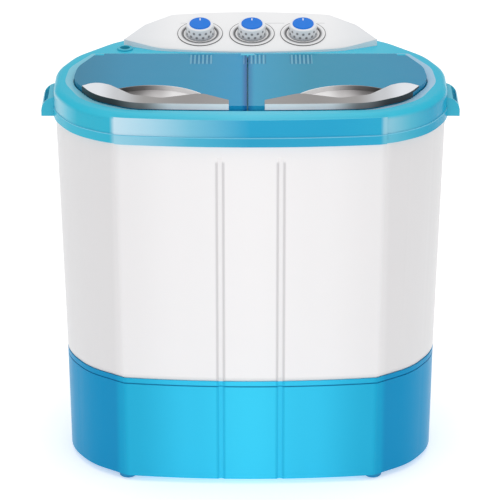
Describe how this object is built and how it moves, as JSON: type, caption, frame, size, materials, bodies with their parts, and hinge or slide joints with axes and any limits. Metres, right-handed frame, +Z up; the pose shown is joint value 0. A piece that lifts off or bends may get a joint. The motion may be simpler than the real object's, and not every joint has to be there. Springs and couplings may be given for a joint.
{
  "type": "twin tub washing machine",
  "caption": "Compact top-loading twin tub washer: pulsator wash tub and spin-dry basket side by side, hinged translucent lids, three dials on a sloping rear panel.",
  "frame": {"origin": "on the floor, under the middle of the machine's width and depth", "axes": "+X to the machine's right as seen from the front, +Y to the back, +Z up; the front faces -Y"},
  "size_m": [0.57, 0.3508, 0.5864],
  "materials": {
    "blue_shell": "semi-gloss moulded",
    "white_shell": "semi-gloss moulded",
    "white_panel": "gloss moulded",
    "foot_plastic": "matte",
    "steel_hardware": "zinc plated",
    "dial_trim": "bright trim",
    "knob_white": "gloss moulded",
    "knob_blue": "gloss moulded",
    "black_plastic": "matte",
    "lid_blue": "translucent gloss",
    "silver_trim": "metallised satin",
    "tub_plastic": "semi-gloss moulded",
    "pipe_plastic": "matte",
    "filter_plastic": "matte",
    "brass_fitting": "turned",
    "seal_rubber": "matte",
    "pulsator_plastic": "gloss moulded",
    "cast_metal": "die cast",
    "motor_steel": "satin paint",
    "basket_plastic": "gloss moulded",
    "pipe_rubber": "ribbed",
    "capacitor_can": "drawn can"
  },
  "bodies": {
    "housing": {"base_skirt": "blue_shell", "feet": "foot_plastic", "cabinet": "white_shell", "rear_service_cover": "white_shell", "rear_cover_screws": "steel_hardware", "top_frame": "blue_shell", "carry_handle_left": "blue_shell", "carry_handle_right": "blue_shell", "hinge_pins": "steel_hardware", "control_panel": "white_panel", "dial_rings": "dial_trim", "wash_timer_switch": "black_plastic", "drain_selector_switch": "black_plastic", "spin_timer_switch": "black_plastic", "wash_tub": "tub_plastic", "spin_outer_tub": "tub_plastic", "water_inlet_port": "blue_shell", "inlet_elbow": "pipe_plastic", "lint_filter_holder": "tub_plastic", "bearing_housing": "black_plastic", "housing_nut": "brass_fitting", "shaft_seal": "seal_rubber", "drive_belt": "seal_rubber", "wash_motor": "motor_steel", "motor_cradle": "motor_steel", "bellows_seal": "seal_rubber", "spin_motor": "motor_steel", "suspension_springs": "steel_hardware", "brake_bracket": "steel_hardware", "drain_valve_body": "pipe_plastic", "wash_drain_pipe": "pipe_rubber", "spin_drain_pipe": "pipe_rubber", "drain_outlet_pipe": "pipe_rubber", "drain_spigot": "pipe_plastic", "cord_gland": "seal_rubber", "motor_capacitor": "capacitor_can", "lid_switch": "black_plastic"},
    "wash_lid_body": {"wash_lid": "lid_blue", "wash_lid_grip": "silver_trim"},
    "spin_lid_body": {"spin_lid": "lid_blue", "spin_lid_grip": "silver_trim"},
    "wash_timer_dial": {"wash_timer_knob": "knob_white", "wash_timer_cap": "knob_blue"},
    "drain_selector_dial": {"drain_selector_knob": "knob_white", "drain_selector_cap": "knob_blue"},
    "spin_timer_dial": {"spin_timer_knob": "knob_white", "spin_timer_cap": "knob_blue"},
    "pulsator_rotor": {"pulsator": "pulsator_plastic", "pulsator_screw": "steel_hardware", "pulsator_shaft": "steel_hardware", "drive_pulley": "cast_metal"},
    "motor_rotor": {"motor_pulley": "cast_metal"},
    "spin_rotor": {"spin_basket": "basket_plastic", "spin_shaft": "steel_hardware", "brake_drum": "cast_metal"},
    "pressing_disc": {"press_plate": "basket_plastic"},
    "brake_arm": {"brake_lever": "steel_hardware", "brake_pad": "seal_rubber"},
    "drain_plunger": {"drain_valve_plunger": "filter_plastic"},
    "lint_screen": {"lint_filter": "filter_plastic"}
  },
  "joints": [
    {"name": "wash_lid_hinge", "type": "hinge", "parent": "housing", "child": "wash_lid_body", "pos_m": [-0.12, 0.06, 0.552], "axis": [-1, 0, 0], "range_deg": [0, 100]},
    {"name": "spin_lid_hinge", "type": "hinge", "parent": "housing", "child": "spin_lid_body", "pos_m": [0.12, 0.06, 0.552], "axis": [-1, 0, 0], "range_deg": [0, 100]},
    {"name": "wash_timer_turn", "type": "hinge", "parent": "housing", "child": "wash_timer_dial", "pos_m": [-0.071, 0.119, 0.56539], "axis": [0, -0.225, 0.9744], "range_deg": [-300, 0]},
    {"name": "drain_selector_turn", "type": "hinge", "parent": "housing", "child": "drain_selector_dial", "pos_m": [0.002, 0.119, 0.56539], "axis": [0, -0.225, 0.9744], "range_deg": [-90, 0]},
    {"name": "spin_timer_turn", "type": "hinge", "parent": "housing", "child": "spin_timer_dial", "pos_m": [0.074, 0.119, 0.56539], "axis": [0, -0.225, 0.9744], "range_deg": [-270, 0]},
    {"name": "pulsator_spin", "type": "hinge", "parent": "housing", "child": "pulsator_rotor", "pos_m": [-0.121, -0.039, 0.184], "axis": [0, 0, 1], "continuous": true},
    {"name": "motor_pulley_spin", "type": "hinge", "parent": "housing", "child": "motor_rotor", "pos_m": [-0.075, 0.1, 0.111], "axis": [0, 0, 1], "continuous": true},
    {"name": "basket_spin", "type": "hinge", "parent": "housing", "child": "spin_rotor", "pos_m": [0.112, -0.036, 0.186], "axis": [0, 0, 1], "continuous": true},
    {"name": "press_plate_slide", "type": "slide", "parent": "spin_rotor", "child": "pressing_disc", "axis": [0, 0, 1], "range_m": [0, 0.23]},
    {"name": "brake_lever_swing", "type": "hinge", "parent": "housing", "child": "brake_arm", "pos_m": [0.16, 0.017, 0.1435], "axis": [0, 0, 1], "range_deg": [0, 1.6]},
    {"name": "drain_valve_slide", "type": "slide", "parent": "housing", "child": "drain_plunger", "axis": [0, 0, 1], "range_m": [0, 0.008]},
    {"name": "lint_filter_slide", "type": "slide", "parent": "housing", "child": "lint_screen", "axis": [0, 0, 1], "range_m": [0, 0.055]}
  ],
  "couplings": [
    {"joint": "motor_pulley_spin", "follows": "pulsator_spin", "ratio": 6.4},
    {"joint": "brake_lever_swing", "follows": "spin_lid_hinge", "ratio": 0.016},
    {"joint": "drain_selector_turn", "follows": "drain_valve_slide", "rad_per_m": -196.35}
  ]
}
